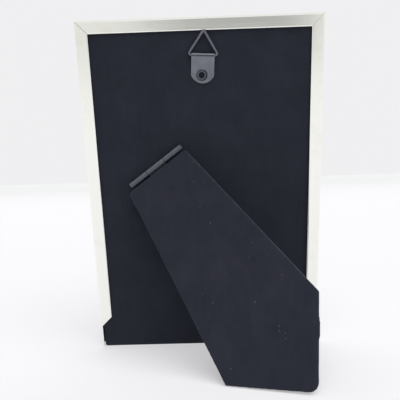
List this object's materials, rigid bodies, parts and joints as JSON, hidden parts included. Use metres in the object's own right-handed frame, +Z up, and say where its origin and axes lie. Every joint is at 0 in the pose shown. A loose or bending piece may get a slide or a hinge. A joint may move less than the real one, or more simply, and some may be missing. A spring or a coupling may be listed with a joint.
{
  "type": "easel back photo frame",
  "caption": "Silver-plated tabletop picture frame with a slide-out velvet back board, a hinged velvet easel strut and a small wall hanger.",
  "frame": {"origin": "middle of the object's footprint on the table, under the middle of its box", "axes": "+Z up, -Y the way the picture faces, +X to the right seen from the front; the frame leans back 12 degrees on its strut"},
  "size_m": [0.115, 0.0754, 0.1643],
  "materials": {
    "silver_plate": "polished, silver plated",
    "clear_glass": "clear",
    "blank_paper": "matt paper",
    "grey_card": "matt card",
    "hardboard": "pressed fibre",
    "black_velvet": "short pile velvet",
    "black_card": "matt black card",
    "hinge_steel": "dull nickel",
    "nickel_plate": "dull nickel",
    "nickel_wire": "bright nickel"
  },
  "bodies": {
    "frame": {"top_rail": "silver_plate", "left_rail": "silver_plate", "right_rail": "silver_plate", "bottom_rail": "silver_plate", "glass_pane": "clear_glass", "photo_insert": "blank_paper", "filler_card": "grey_card"},
    "backboard": {"backboard_core": "hardboard", "backboard_velvet": "black_velvet", "backboard_lining": "black_card", "hinge_board_leaf": "hinge_steel", "hinge_board_rivets": "hinge_steel", "hinge_pin": "hinge_steel", "hanger_strap": "nickel_plate", "hanger_eyelet": "nickel_plate"},
    "strut": {"strut_core": "hardboard", "strut_velvet": "black_velvet", "strut_lining": "black_card", "hinge_strut_leaf": "hinge_steel", "hinge_strut_rivets": "hinge_steel"},
    "ring": {"hanger_ring": "nickel_wire"}
  },
  "joints": [
    {"name": "backboard_slide", "type": "slide", "parent": "frame", "child": "backboard", "axis": [0, -0.2083, -0.9781], "range_m": [0, 0.17]},
    {"name": "strut_hinge", "type": "hinge", "parent": "backboard", "child": "strut", "pos_m": [0.02335, -0.00599, 0.09576], "axis": [-0.8059, 0.1233, 0.579], "range_deg": [0, 29.9]},
    {"name": "ring_swing", "type": "hinge", "parent": "backboard", "child": "ring", "pos_m": [-0.0014, 0.00275, 0.14616], "axis": [-0.9982, -0.0123, -0.058], "range_deg": [-1.5, 142]}
  ]
}
